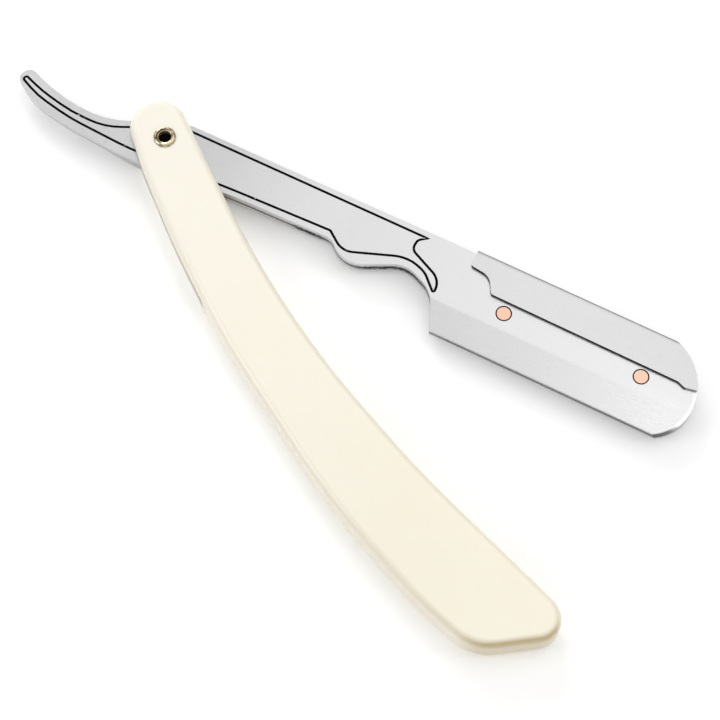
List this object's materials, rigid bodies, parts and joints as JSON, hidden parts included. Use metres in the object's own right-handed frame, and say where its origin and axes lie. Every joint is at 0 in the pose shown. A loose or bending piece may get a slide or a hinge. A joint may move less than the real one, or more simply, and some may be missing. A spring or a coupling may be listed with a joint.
{
  "type": "straight razor",
  "caption": "Folding straight razor with a curved slotted plastic handle, a steel arm with a curled tail and a swinging clip plate that holds a loose blade.",
  "frame": {"origin": "on the pivot axis, in the plane of the handle's underside, where the tubular pivot's bore opens", "axes": "+Z along the pivot axis, out of the engraved face; +X along the arm from the pivot to the blade end; the cutting edge faces -Y"},
  "size_m": [0.1519, 0.0739, 0.0076],
  "materials": {
    "ivory_plastic": "glossy",
    "eyelet_metal": "satin",
    "arm_steel": "satin",
    "clip_steel": "satin",
    "copper": "satin"
  },
  "bodies": {
    "handle": {"handle": "ivory_plastic", "pivot_eyelet": "eyelet_metal"},
    "arm": {"front_arm": "arm_steel", "blade_pin_rear": "copper", "blade_pin_front": "copper"},
    "clip": {"clip_plate": "clip_steel"}
  },
  "joints": [
    {"name": "arm_fold", "type": "hinge", "parent": "handle", "child": "arm", "pos_m": [0, 0, 0], "axis": [0, 0, 1], "range_deg": [-26, 250]},
    {"name": "clip_swing", "type": "hinge", "parent": "arm", "child": "clip", "pos_m": [0, 0, 0], "axis": [0, 0, 1], "range_deg": [0, 30]}
  ]
}
